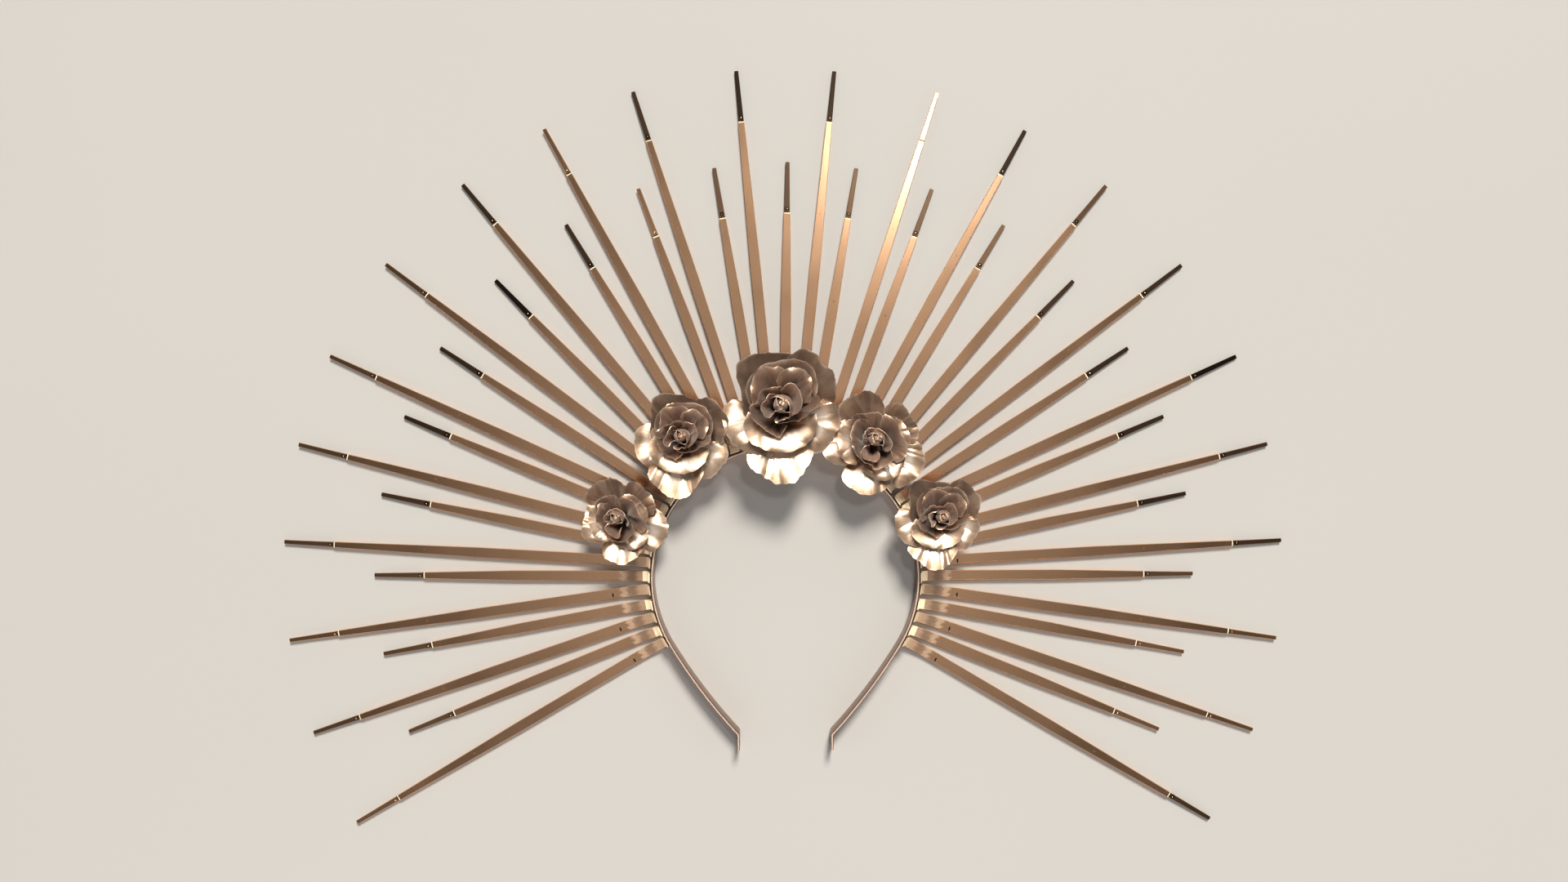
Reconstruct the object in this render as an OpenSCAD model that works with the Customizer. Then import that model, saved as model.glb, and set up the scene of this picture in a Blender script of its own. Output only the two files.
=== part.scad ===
// Halo crown: a bent metal headband with a fan of flat painted straps and five roses.
// It lies on its back edge: +X is the viewer's right, +Y is the top of the crown
// and +Z is its front. The fan is laid out round one point, the centre of the band's
// round top, and the origin is under the middle of the whole crown's box.

/* [Headband] */
// Radius of the round top, at the middle of the metal
band_r = 63; // [61:0.5:64]
// Width of the metal, from its back edge to its front edge
band_w = 8.5; // [8:0.25:11]
// Thickness of the metal
band_t = 1.2; // [0.8:0.1:1.6]
// Angle below level where the round top ends and a leg begins
leg_start = 31; // [30.5:0.5:38]
// Radius of a leg's slow curve
leg_r = 266; // [180:2:360]
// Angle that a leg turns through along its slow curve
leg_turn = 11.3; // [8:0.1:13]
// Radius of the small bend before a leg's end
kink_r = 1.4; // [1:0.1:3]
// Length of a leg's straight end
end_len = 7; // [4:0.5:12]

/* [Rays] */
// Distance from the middle of the fan to the tips of the long rays
long_reach = 239; // [225:1:250]
// Distance from the middle of the fan to the tips of the short rays
short_reach = 196; // [180:1:205]
// Width of a ray along its even part
ray_w = 4.8; // [4:0.1:4.9]
// Thickness of a ray
ray_t = 1.2; // [1:0.1:1.5]
// Width of a ray's square tip
tip_w = 1.9; // [1.4:0.1:2.6]
// Length of the long rays' narrowing part
long_taper = 91; // [70:1:110]
// Length of the short rays' narrowing part
short_taper = 66; // [50:1:80]
// Length of the thinner tail at a ray's tip
tail_len = 23.5; // [18:0.5:28]
// Thickness of the tail
tail_t = 0.8; // [0.6:0.1:0.9]
// Height of a flat ray's middle over the band's back edge
ray_z = 1.6; // [1.2:0.1:1.8]
// Radius of the tight bend where a ray turns up along the band
bend_r = 3.2; // [2.5:0.1:3.4]
// Radius of the slow rise before the tight bend
rise_r = 60; // [40:2:70]
// Angle that the slow rise turns through
rise_turn = 12; // [8:1:13]
// Distance from a ray's cut end to the band's front edge
end_inset = 0.6; // [0.3:0.1:0.9]

/* [Roses] */
// Height of a rose's underside over the band's back edge
rose_z = 3.9; // [3.9:0.1:5]
// Thickness of a petal, as a share of the rose's half width
petal_t = 0.045; // [0.035:0.005:0.06]

/* [Hidden] */
// Space between pieces that are glued together
gap = 0.08;

// The rays of the right side, a row for each pair from the top down, in degrees above level:
// [short ray's tip, short ray's lean, long ray's tip, long ray's lean].
// A lean turns a ray from the line through its tip and the middle of the fan towards level.
// The first short ray stands in the middle and has no twin on the left.
RAY_PAIRS = [
    [89.7, 0.3, 84.5, 0.1],
    [80.2, -0.3, 72.7, 0.6],
    [69.4, -0.4, 61.9, 0.6],
    [58.3, -0.5, 50.8, 0.4],
    [45.9, 0.2, 38.3, 1.1],
    [33.8, 0.5, 26.1, 1.3],
    [23.0, 0.0, 15.4, 1.0],
    [11.7, 0.0, 4.1, 0.9],
    [0.3, 0.1, -7.3, 0.9],
    [-10.9, -0.2, -18.4, 0.6],
    [-22.5, -0.2, -30.0, 0.7],
];
PAIRS = len(RAY_PAIRS);
LONG_COUNT = 2 * PAIRS;
SHORT_COUNT = 2 * PAIRS - 1;

// The roses: [name, x, y, width, height, front, turn, petals], with x and y of the bud's axis
// from the middle of the fan, front over the band's back edge and turn in degrees
ROSES = [
    ["rose_centre", -2.9, 82.0, 54.6, 62.0, 46.0, 0, "open"],
    ["rose_left_upper", -47.8, 66.6, 44.0, 49.0, 37.0, -11, "open"],
    ["rose_right_upper", 42.2, 63.0, 48.0, 48.5, 37.0, -11, "round"],
    ["rose_left_lower", -74.0, 27.8, 40.5, 41.5, 33.0, 0, "round"],
    ["rose_right_lower", 70.2, 30.0, 40.0, 43.0, 33.0, -6, "open"],
];

// Petals as shares of the rose's half width and depth, from the outside in:
// [turn, spread, reach, foot, rise, curl, point, upright], where turn and spread are
// degrees from +X, reach is the rim's radius, foot and rise are heights of the base and
// the rim, curl is how far the rim rolls back, point draws out its middle and upright
// goes from 0 for a spread petal to 1 for a standing one
OPEN_PETALS = [
    [270, 44, 1.16, 0.10, 0.34, 0.10, 0.10, 0.1],
    [128, 50, 0.98, 0.12, 0.52, 0.06, -0.04, 0.4],
    [47, 42, 1.00, 0.16, 0.50, 0.14, 0.02, 0.3],
    [-20, 38, 0.98, 0.20, 0.52, 0.16, 0.02, 0.3],
    [212, 48, 0.94, 0.16, 0.54, 0.12, 0.00, 0.4],
    [65, 64, 0.68, 0.24, 0.80, 0.04, 0.00, 0.9],
    [165, 60, 0.60, 0.24, 0.82, 0.04, 0.00, 0.9],
    [238, 62, 0.52, 0.26, 0.88, 0.03, 0.08, 1.0],
    [-40, 64, 0.54, 0.26, 0.90, 0.03, 0.06, 1.0],
];
ROUND_PETALS = [
    [258, 40, 1.02, 0.10, 0.38, 0.10, 0.02, 0.2],
    [105, 40, 1.08, 0.12, 0.46, 0.06, 0.10, 0.3],
    [180, 40, 1.03, 0.12, 0.40, 0.08, 0.06, 0.2],
    [48, 30, 0.94, 0.14, 0.50, 0.08, 0.08, 0.4],
    [-22, 46, 1.04, 0.12, 0.44, 0.08, 0.08, 0.3],
    [130, 62, 0.68, 0.24, 0.78, 0.04, 0.00, 0.9],
    [215, 60, 0.64, 0.22, 0.74, 0.05, 0.00, 0.8],
    [20, 66, 0.60, 0.24, 0.84, 0.03, 0.00, 0.9],
    [-70, 60, 0.50, 0.26, 0.88, 0.03, 0.04, 1.0],
];

// Radius at which the petals leave the rose's core, and the core's top
core_r = 0.16;
core_top = 0.62;
// The rolled bud: turns, its inner and outer radius, and the heights of its rims
bud_turns = 1.7;
bud_r0 = 0.07;
bud_r1 = 0.31;
bud_z0 = 0.40;
bud_z1 = 1.00;
bud_drop = 0.10;
// Grid of a petal and of the bud
petal_across = 6;
petal_along = 3;
bud_steps = 14;
// How much of a petal's length is left at its side edges
side_len = 0.30;
// How narrow a petal is at its base
base_spread = 0.55;
// Step of the finite differences that give a petal's normal
eps = 0.01;

// A leg's slow curve: the angle at its end, its centre, its last point and the kink's centre
leg_end_a = leg_start + leg_turn;
leg_c = (leg_r - band_r) * [-cos(leg_start), sin(leg_start)];
leg_p = leg_c + leg_r * [cos(leg_end_a), -sin(leg_end_a)];
kink_c = leg_p + kink_r * [cos(leg_end_a), -sin(leg_end_a)];

// A ray's side view: from its foot to the flat stretch, the height of the tight bend's centre,
// the height of the cut end and the steps of each bend
rise_c_x = bend_r + (rise_r - bend_r) * sin(rise_turn);
bend_c_z = ray_z + rise_r - (rise_r - bend_r) * cos(rise_turn);
foot_top = band_w - end_inset;
arc_steps = 6;
// How the band's stretches join: the side step, and how far one reaches into the next
joint_step = 0.01;
joint_turn = 0.05;
joint_len = 0.2;
kink_overlap = 8;

// Direction of a right-hand ray, the side step of its line from the middle of the fan and its tip
function ray_dir(tip, lean) = tip - lean;
function ray_side(reach, lean) = reach * sin(lean);
function ray_tip(reach, lean) = reach * cos(lean);
function tip_corner_y(reach, tip, lean, side) =
    ray_tip(reach, lean) * sin(ray_dir(tip, lean))
    + (ray_side(reach, lean) + side * tip_w / 2) * cos(ray_dir(tip, lean));
long_corners = [for (p = RAY_PAIRS) for (s = [-1, 1]) tip_corner_y(long_reach, p[2], p[3], s)];
// The fan's middle lies this far along Y from the middle of the crown's box
fan_y = -(max(long_corners) + min(long_corners)) / 2;

// Ray numbers run clockwise from the lower left, so the last row comes first and last
function pair_of_long(i) = i <= PAIRS ? PAIRS - i : i - PAIRS - 1;
function pair_of_short(i) = abs(i - PAIRS);
function two_digits(i) = i < 10 ? str("0", i) : str(i);

$fn = 96;

// An arc of flat strip: radius of its middle, start and turn in degrees, thickness and width
module strip_arc(r, start, turn, t, w) {
    rotate_extrude(angle = turn, start = start)
        translate([r - t / 2, 0])
            square([t, w]);
}

// One leg of the band on the right side, with its slow curve, its kink and its straight end.
// Each stretch reaches a little into the next, and every second one is a hair thinner.
module leg() {
    thin_t = band_t - 2 * joint_step;
    translate([leg_c[0], leg_c[1], 0])
        strip_arc(leg_r, -leg_end_a, leg_turn + joint_turn, thin_t, band_w);
    translate([kink_c[0], kink_c[1], 0])
        strip_arc(kink_r, 180 - leg_end_a - kink_overlap, leg_end_a + kink_overlap, band_t, band_w);
    translate([kink_c[0] - kink_r - thin_t / 2, kink_c[1] - end_len, 0])
        cube([thin_t, end_len + joint_len, band_w]);
}

module headband() {
    color("rosybrown")
        translate([0, fan_y, 0])
            union() {
                strip_arc(band_r, -leg_start, 180 + 2 * leg_start, band_t, band_w);
                leg();
                mirror([1, 0, 0]) leg();
            }
}

// Points along an arc of a ray's side view, from start to end in degrees
function side_arc(x, z, r, start, end) = [
    for (k = [0 : arc_steps])
        let (a = start + (end - start) * k / arc_steps)
        [x + r * cos(a), z + r * sin(a)]
];

// One face of a ray's side view, off away from its middle: down the foot, round the tight
// bend and along the slow rise
function side_face(foot, off) = concat(
    [[foot - off, foot_top]],
    side_arc(foot + bend_r, bend_c_z, bend_r + off, 180, 270 - rise_turn),
    side_arc(foot + rise_c_x, ray_z + rise_r, rise_r + off, 270 - rise_turn, 270),
    [[foot + rise_c_x + 1, ray_z - off]]
);
function backwards(v) = [for (i = [len(v) - 1 : -1 : 0]) v[i]];

// A ray along +X with its middle line on the X axis. foot is where the foot's middle stands,
// tip is the cut tip and taper is the length of the narrowing part.
module ray_strap(foot, tip, taper) {
    flat_start = foot + rise_c_x;
    tail_start = tip - tail_len;
    translate([0, ray_w / 2, 0])
        rotate([90, 0, 0])
            linear_extrude(ray_w)
                polygon(concat(side_face(foot, ray_t / 2), backwards(side_face(foot, -ray_t / 2))));
    translate([0, 0, ray_z - ray_t / 2])
        difference() {
            linear_extrude(ray_t)
                polygon([
                    [flat_start, -ray_w / 2],
                    [tip - taper, -ray_w / 2],
                    [tip, -tip_w / 2],
                    [tip, tip_w / 2],
                    [tip - taper, ray_w / 2],
                    [flat_start, ray_w / 2],
                ]);
            // The tail is cut thinner at the front
            translate([tail_start, -ray_w, tail_t])
                cube([tail_len + 1, 2 * ray_w, ray_t]);
        }
}

// A right-hand ray in its place
module placed_ray(reach, taper, tip, lean) {
    side = ray_side(reach, lean);
    // The foot stands clear of the band's round face, which falls away beside it
    near = max(0, abs(side) - ray_w / 2);
    foot = sqrt(pow(band_r + band_t / 2, 2) - near * near) + gap + ray_t / 2;
    translate([0, fan_y, 0])
        rotate([0, 0, ray_dir(tip, lean)])
            translate([0, side, 0])
                ray_strap(foot, ray_tip(reach, lean), taper);
}

// Mirrors a right-hand ray to the left
module on_side(left) {
    if (left) mirror([1, 0, 0]) children();
    else children();
}

module ray_long(i) {
    row = RAY_PAIRS[pair_of_long(i)];
    color("burlywood")
        on_side(i <= PAIRS)
            placed_ray(long_reach, long_taper, row[2], row[3]);
}

module ray_short(i) {
    row = RAY_PAIRS[pair_of_short(i)];
    color("burlywood")
        on_side(i < PAIRS)
            placed_ray(short_reach, short_taper, row[0], row[1]);
}

// Where a petal's sheet lies: u runs from -1 to 1 across it and v from 0 at its base to 1 at its rim
function petal_at(p, u, v) =
    let (
        edge = side_len + (1 - side_len) * sqrt(max(0, 1 - pow(abs(u), 3))),
        t = v * edge,
        angle = p[0] + u * p[1] * (base_spread + (1 - base_spread) * sqrt(v)),
        spread_r = t,
        stand_r = pow(sin(90 * t), 0.8),
        r = core_r * 0.7 + (p[2] - core_r * 0.7) * (spread_r + (stand_r - spread_r) * p[7]),
        tip = p[6] * max(0, 1 - 3 * abs(u)) * v * v,
        roll = p[5] * pow(max(0, t - 0.7) / 0.3, 2),
        z = p[3] + (p[4] - p[3]) * pow(t, 1.7 - 0.7 * p[7]) - roll
    )
    [(r + tip) * cos(angle), (r + tip) * sin(angle), z];

// The same sheet moved along its normal, so that a petal has a front and a back
function petal_side(p, u, v, off) =
    let (
        c = petal_at(p, u, v),
        du = petal_at(p, u + eps, v) - petal_at(p, u - eps, v),
        dv = petal_at(p, u, v + eps) - petal_at(p, u, v - eps),
        n = cross(dv, du)
    )
    c + off * n / norm(n);

// Sheets with thickness are closed grids: the front's points, then the back's
function grid_faces(nu, nv) =
    let (
        row = nu + 1,
        back = row * (nv + 1)
    )
    concat(
        [for (j = [0 : nv - 1]) for (i = [0 : nu - 1]) each [
            [j * row + i, j * row + i + 1, (j + 1) * row + i + 1],
            [j * row + i, (j + 1) * row + i + 1, (j + 1) * row + i],
        ]],
        [for (j = [0 : nv - 1]) for (i = [0 : nu - 1]) each [
            [back + j * row + i, back + (j + 1) * row + i + 1, back + j * row + i + 1],
            [back + j * row + i, back + (j + 1) * row + i, back + (j + 1) * row + i + 1],
        ]],
        [for (i = [0 : nu - 1]) each [
            [i, back + i + 1, i + 1],
            [i, back + i, back + i + 1],
            [nv * row + i, nv * row + i + 1, back + nv * row + i + 1],
            [nv * row + i, back + nv * row + i + 1, back + nv * row + i],
        ]],
        [for (j = [0 : nv - 1]) each [
            [j * row, (j + 1) * row, back + (j + 1) * row],
            [j * row, back + (j + 1) * row, back + j * row],
            [j * row + nu, back + (j + 1) * row + nu, (j + 1) * row + nu],
            [j * row + nu, back + j * row + nu, back + (j + 1) * row + nu],
        ]]
    );

module petal(p) {
    points = [
        for (off = [petal_t / 2, -petal_t / 2])
            for (j = [0 : petal_along])
                for (i = [0 : petal_across])
                    petal_side(p, 2 * i / petal_across - 1, max(0.02, j / petal_along), off)
    ];
    polyhedron(points, grid_faces(petal_across, petal_along), convexity = 6);
}

// The rolled bud: one sheet that winds outwards, with its rim falling as it goes
module bud() {
    function turn_r(k) = bud_r0 + (bud_r1 - bud_r0) * k / bud_steps;
    function turn_a(k) = 360 * bud_turns * k / bud_steps;
    points = [
        for (off = [-petal_t / 2, petal_t / 2])
            for (z = [bud_z0, bud_z1])
                for (k = [0 : bud_steps])
                    [
                        (turn_r(k) + off) * cos(turn_a(k)),
                        (turn_r(k) + off) * sin(turn_a(k)),
                        z == bud_z0 ? z : z - bud_drop * k / bud_steps,
                    ]
    ];
    polyhedron(points, grid_faces(bud_steps, 1), convexity = 6);
}

// A rose of half width 1 and depth 1, facing +Z
module rose_form(petals) {
    cylinder(h = core_top, r1 = core_r * 1.6, r2 = core_r, $fn = 16);
    bud();
    for (p = petals) petal(p);
}

// A rose with its axis in its place, brought to its real width, height and depth
module rose(row) {
    color("tan")
        translate([row[1], row[2] + fan_y, rose_z])
            resize([row[3], row[4], row[5] - rose_z])
                rotate([0, 0, row[6]])
                    rose_form(row[7] == "open" ? OPEN_PETALS : ROUND_PETALS);
}

headband();
for (i = [1 : LONG_COUNT])
    ray_long(i);
for (i = [1 : SHORT_COUNT])
    ray_short(i);
for (r = ROSES)
    rose(r);
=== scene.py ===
# The halo crown's looks: painted straps, a painted band and five stiff cloth roses, built round the
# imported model. The crown lies on its back on a pale floor, and the camera looks at its front.
# Lengths are in millimetres until mesh_piece() turns them into metres, and angles are in degrees.
import math
import bpy
import numpy as np
from mathutils import Matrix, Vector


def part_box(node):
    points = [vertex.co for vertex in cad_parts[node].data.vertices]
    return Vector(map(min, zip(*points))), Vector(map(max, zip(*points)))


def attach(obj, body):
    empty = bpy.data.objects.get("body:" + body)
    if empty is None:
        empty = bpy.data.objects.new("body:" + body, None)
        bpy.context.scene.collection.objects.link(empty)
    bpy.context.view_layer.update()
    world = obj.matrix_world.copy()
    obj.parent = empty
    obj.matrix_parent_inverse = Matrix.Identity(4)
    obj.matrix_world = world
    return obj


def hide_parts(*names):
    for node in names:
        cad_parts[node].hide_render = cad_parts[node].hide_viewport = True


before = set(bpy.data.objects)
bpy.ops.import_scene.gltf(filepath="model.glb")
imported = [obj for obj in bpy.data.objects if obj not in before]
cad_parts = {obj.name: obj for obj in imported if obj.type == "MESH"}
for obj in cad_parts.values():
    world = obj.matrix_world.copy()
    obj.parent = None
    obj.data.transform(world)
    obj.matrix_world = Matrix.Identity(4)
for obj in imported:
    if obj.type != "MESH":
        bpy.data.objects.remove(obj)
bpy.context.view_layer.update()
MM = 0.001

# The band: the radius of its round top, its thickness, how far below level each leg leaves the top,
# the leg's own radius and turn, and the small kink and the straight end below it
BAND_R = 63.0
BAND_T = 1.2
LEG_START = 31.0
LEG_R = 266.0
LEG_TURN = 11.3
KINK_R = 1.4
END_LEN = 7.0
# Its rounded edges, and half the width of the pale line along its front edge, a painted highlight
BAND_EDGE = 0.15
BAND_LINE = 0.27

# The straps: width, thickness and height of the middle, then the tight bend at the foot and the slow
# rise beyond it, and the thin tail
RAY_W = 4.8
RAY_T = 1.2
RAY_Z = 1.6
BEND_R = 3.2
RISE_R = 60.0
RISE_TURN = 12.0
TAIL_LEN = 23.5
TAIL_T = 0.8
TIP_W = 1.9
# For each kind, how far from the tip its taper starts, its width at the step, the tail's width there,
# how far from the tip its small mark is, and whether it has a slit near the foot
LONG_STRAP = {"taper": 91.0, "step_w": 2.75, "tail_w": 2.5, "mark": 66.5, "slit": True}
SHORT_STRAP = {"taper": 66.0, "step_w": 3.0, "tail_w": 2.7, "mark": 63.0, "slit": False}
# The rounded end of a foot, as (below its top, narrower, thinner in front, thinner behind)
FOOT_END = ((0.0, 0.1, 0.15, 0.5), (0.15, 0.0, 0.0, 0.35), (0.5, 0.0, 0.0, 0.0))
# Across a strap: its bevels, its rims, and how deep the face between them is sunk, on what slope
EDGE = 0.2
RIM = 0.42
RECESS = 0.06
SLOPE = 0.008
# The lengths of the lip before the step down to the tail, of the wall where it starts, of its flat, of
# the straight start of the tail, and of the bevel at the tail's square-cut end
LIP = 0.6
LIP_WALL = 0.03
LIP_TOP = 0.35
STEP_LEN = 0.45
END_BEVEL = 0.15
# The slit: how far out it is, its length, depth and end walls, the places of its sides, and how far
# beyond it the evenly spaced rows start
SLIT_AT = 18.5
SLIT_LEN = 0.6
SLIT_DEPTH = 0.45
SLIT_WALL = 0.05
SLIT_SIDES = (-1.62, -1.52, 0.08, 0.18)
PAST_SLIT = 4.0
# Small raised spots, as (radius, height, sides): the mark on the front, the pip on the tail, and the
# two studs on a rim beside the slit
MARK = (0.45, 0.16, 4)
PIP = (0.36, 0.22, 10)
STUD = (0.3, 0.12, 8)
PIP_AT = 1.75
STUD_IN = 0.3
STUD_GAP = 2.1
# The pale paint at a foot, a painted highlight where the strap bends down to the band: how far out it
# goes, and how strong it is on the slitted straps that point sideways or down, lying and standing. The
# short straps, and the long ones that point up by more than UPWARDS of their length, have all of it.
PALE_LEN = 3.8
LONG_PALE = 0.22
FOOT_PALE = 0.50
UPWARDS = 0.3
# Rows that lean more than this stand at the foot. FOOT_PALE, a painted highlight, is for those down to
# FOOT_TOP below its top, and the inside of a foot carries painted shade from FOOT_HIDDEN below its top,
# which is marked by a distance that no place on a strap has.
STANDING = 80.0
FOOT_TOP = 0.3
FOOT_HIDDEN = 0.1
FOOT_MARK = -9.0
# How dark and bent back each tail is, from 0 to 4, clockwise from the lower left. The dark is a painted
# dark reflection of the bent-back tail.
LONG_TAILS = (0, 1, 0, 1, 1, 1, 1, 3, 0, 3, 4, 4, 0, 4, 2, 3, 4, 2, 2, 0, 0, 2)
SHORT_TAILS = (1, 1, 1, 2, 3, 3, 4, 3, 0, 2, 3, 3, 3, 2, 3, 3, 3, 3, 1, 0, 0)
# The share of painted dark reflection for each of those, and how far each step bends a tip back
TAIL_DARK = (0.0, 0.45, 0.72, 0.88, 1.0)
TAIL_DROP = 0.17
# Slack where places on a strap are compared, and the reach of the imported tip's corners
NEAR = 0.01
TIP_REACH = 1.0


def in_mm(node):
    """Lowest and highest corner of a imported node."""
    lo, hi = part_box(node)
    return np.array(lo) / MM, np.array(hi) / MM


BAND_LO, BAND_HI = in_mm("headband")
BAND_W = BAND_HI[2] - BAND_LO[2]
FAN = np.array([0.0, BAND_HI[1] - BAND_R - BAND_T / 2])


# Meshes

def mesh_piece(name, parts, material, replaced, sharp):
    """One piece from closed parts (points in mm, faces, {attribute: values}), riding on the one body.
    Edges turned by more than sharp are creased."""
    points, faces, start = [], [], 0
    keys = sorted({key for part in parts for key in part[2]})
    values = {key: [] for key in keys}
    for part_points, part_faces, extra in parts:
        points.append(np.asarray(part_points, float))
        faces += [[start + i for i in face] for face in part_faces]
        start += len(part_points)
        blank = np.zeros((len(part_points), 3))
        for key in keys:
            values[key].append(np.asarray(extra.get(key, blank), float))
    mesh = bpy.data.meshes.new(name)
    mesh.from_pydata((np.concatenate(points) * MM).tolist(), [], faces)
    for key in keys:
        attribute = mesh.attributes.new(key, "FLOAT_VECTOR", "POINT")
        attribute.data.foreach_set("vector", np.concatenate(values[key]).ravel())
    mesh.materials.append(material)
    mesh.polygons.foreach_set("use_smooth", [True] * len(mesh.polygons))
    mesh.set_sharp_from_angle(angle=math.radians(sharp))
    mesh.validate()
    piece = bpy.data.objects.new(name, mesh)
    bpy.context.scene.collection.objects.link(piece)
    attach(piece, "root")
    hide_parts(replaced)
    return piece


def skin(rows, count):
    """Faces between rows of points, each a loop of count points."""
    faces = []
    for j in range(rows - 1):
        for i in range(count):
            a, b = j * count + i, j * count + (i + 1) % count
            faces.append([a, b, b + count, a + count])
    return faces


def loft(sections):
    """A closed skin through equal loops of points, with both ends closed."""
    count = len(sections[0])
    last = (len(sections) - 1) * count
    faces = skin(len(sections), count)
    faces.append(list(range(count))[::-1])
    faces.append([last + i for i in range(count)])
    return np.concatenate(sections), faces


# A dome's rings, as shares of its radius and its height
DOME_RINGS = ((1.0, -0.3), (1.0, 0.0), (0.75, 0.65), (0.35, 0.95))


def dome(centre, radius, height, sides):
    """A small closed dome that stands on a face."""
    x, y, z = centre
    turns = [2 * math.pi * k / sides for k in range(sides)]
    points = [(x + radius * r * math.cos(t), y + radius * r * math.sin(t), z + height * up)
              for r, up in DOME_RINGS for t in turns]
    points.append((x, y, z + height))
    top = len(points) - 1
    last = (len(DOME_RINGS) - 1) * sides
    faces = skin(len(DOME_RINGS), sides)
    faces += [[last + k, last + (k + 1) % sides, top] for k in range(sides)]
    faces.append(list(range(sides))[::-1])
    return np.array(points), faces


# Materials

# The colour sockets of a mix node: its two inputs and its output
MIX_A = 6
MIX_B = 7
MIX_OUT = 2
# The range that noise mostly keeps to. The scales of noise that follows the position are for a metre,
# and those of noise that follows a strap are for a millimetre.
NOISE = (0.3, 0.7)


class Paint:
    """A material with small helpers for its nodes."""

    def __init__(self, name, metallic, roughness):
        self.material = bpy.data.materials.new(name)
        self.material.use_nodes = True
        self.tree = self.material.node_tree
        self.bsdf = self.tree.nodes["Principled BSDF"]
        self.bsdf.inputs["Metallic"].default_value = metallic
        self.bsdf.inputs["Roughness"].default_value = roughness

    def node(self, kind, **settings):
        """A new node with the given settings."""
        made = self.tree.nodes.new(kind)
        for key, value in settings.items():
            setattr(made, key, value)
        return made

    def link(self, source, target):
        """Join two sockets."""
        self.tree.links.new(source, target)

    def position(self):
        """Object coordinates, in metres."""
        return self.node("ShaderNodeTexCoord").outputs["Object"]

    def attribute(self, name, scale=None):
        """A vector attribute of the mesh, stretched by scale if there is one."""
        vector = self.node("ShaderNodeAttribute", attribute_name=name).outputs["Vector"]
        if scale is None:
            return vector
        mapping = self.node("ShaderNodeMapping")
        mapping.inputs["Scale"].default_value = scale
        self.link(vector, mapping.inputs["Vector"])
        return mapping.outputs["Vector"]

    def part(self, vector, axis):
        """One component of a vector."""
        split = self.node("ShaderNodeSeparateXYZ")
        self.link(vector, split.inputs[0])
        return split.outputs[axis]

    def noise(self, vector, scale, detail):
        """Noise from 0 to 1 at a vector."""
        made = self.node("ShaderNodeTexNoise")
        made.inputs["Scale"].default_value = scale
        made.inputs["Detail"].default_value = detail
        self.link(vector, made.inputs["Vector"])
        return made.outputs["Fac"]

    def ramp(self, value, low, high, out_low=0.0, out_high=1.0):
        """A value from low to high brought to one from out_low to out_high, held at both ends."""
        made = self.node("ShaderNodeMapRange")
        made.inputs["From Min"].default_value = low
        made.inputs["From Max"].default_value = high
        made.inputs["To Min"].default_value = out_low
        made.inputs["To Max"].default_value = out_high
        self.link(value, made.inputs["Value"])
        return made.outputs["Result"]

    def math(self, operation, a, b=0.0):
        """One operation on two values, each a number or a socket."""
        made = self.node("ShaderNodeMath", operation=operation)
        for socket, value in zip(made.inputs, (a, b)):
            if isinstance(value, (int, float)):
                socket.default_value = value
            else:
                self.link(value, socket)
        return made.outputs["Value"]

    def times(self, a, b):
        """The product of two values."""
        return self.math("MULTIPLY", a, b)

    def mix(self, amount, a, b):
        """A colour between a and b, each a colour or a socket."""
        made = self.node("ShaderNodeMix", data_type="RGBA")
        self.link(amount, made.inputs["Factor"])
        for socket, value in ((made.inputs[MIX_A], a), (made.inputs[MIX_B], b)):
            if isinstance(value, tuple):
                socket.default_value = (*value, 1.0)
            else:
                self.link(value, socket)
        return made.outputs[MIX_OUT]

    def bump(self, height, strength, distance, below=None):
        """A bumped normal, on top of another if one is given, with its distance in metres."""
        made = self.node("ShaderNodeBump")
        made.inputs["Strength"].default_value = strength
        made.inputs["Distance"].default_value = distance
        self.link(height, made.inputs["Height"])
        if below is not None:
            self.link(below, made.inputs["Normal"])
        return made.outputs["Normal"]

    def finish(self, colour, roughness, normal):
        """The material, once its three sockets are joined."""
        self.link(colour, self.bsdf.inputs["Base Color"])
        self.link(roughness, self.bsdf.inputs["Roughness"])
        self.link(normal, self.bsdf.inputs["Normal"])
        return self.material


# The straps' paint, with its gold between two tones
STRAP_TONES = ((0.76, 0.447, 0.262), (0.82, 0.485, 0.285))
# Painted reflection of the strap's rise near the foot: a dull lighter gold and a dark brown patch
RISE_REFLECTION_GOLD = (0.86, 0.660, 0.500)
RISE_REFLECTION_BROWN = (0.24, 0.140, 0.090)
# Painted highlight at the foot's bend and on the lip
HIGHLIGHT_GOLD = (1.0, 0.830, 0.580)
# Painted shade on the hidden inside of a foot
FOOT_SHADE_BROWN = (0.12, 0.080, 0.058)
# Painted dark reflection on the tails, and painted shade just past the step and in the slits
PAINTED_DARK_BROWN = (0.045, 0.030, 0.020)
# How metallic it is where it is bright and where it is dull
STRAP_METAL = (0.98, 0.10)
# Where it changes with the distance from the foot: the dull part's end and the dark patch's start and
# end, all painted reflection of the rise, the soft edge of the pale blocks of painted highlight, and the
# inside of the foot, which carries painted shade
DULL_END = (15.5, 14.0)
PATCH_START = (5.4, 7.8)
PATCH_END = (12.4, 10.0)
BLOCK_EDGE = 0.25
FOOT_INSIDE = (-3.0, -4.0)
# The ring round a pip where a tail's painted dark reflection is deeper, by the square of the distance
# from it, and its share of dark paint
PIP_RING = (1.1, 0.9)
RING_DARK = 1.6


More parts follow.
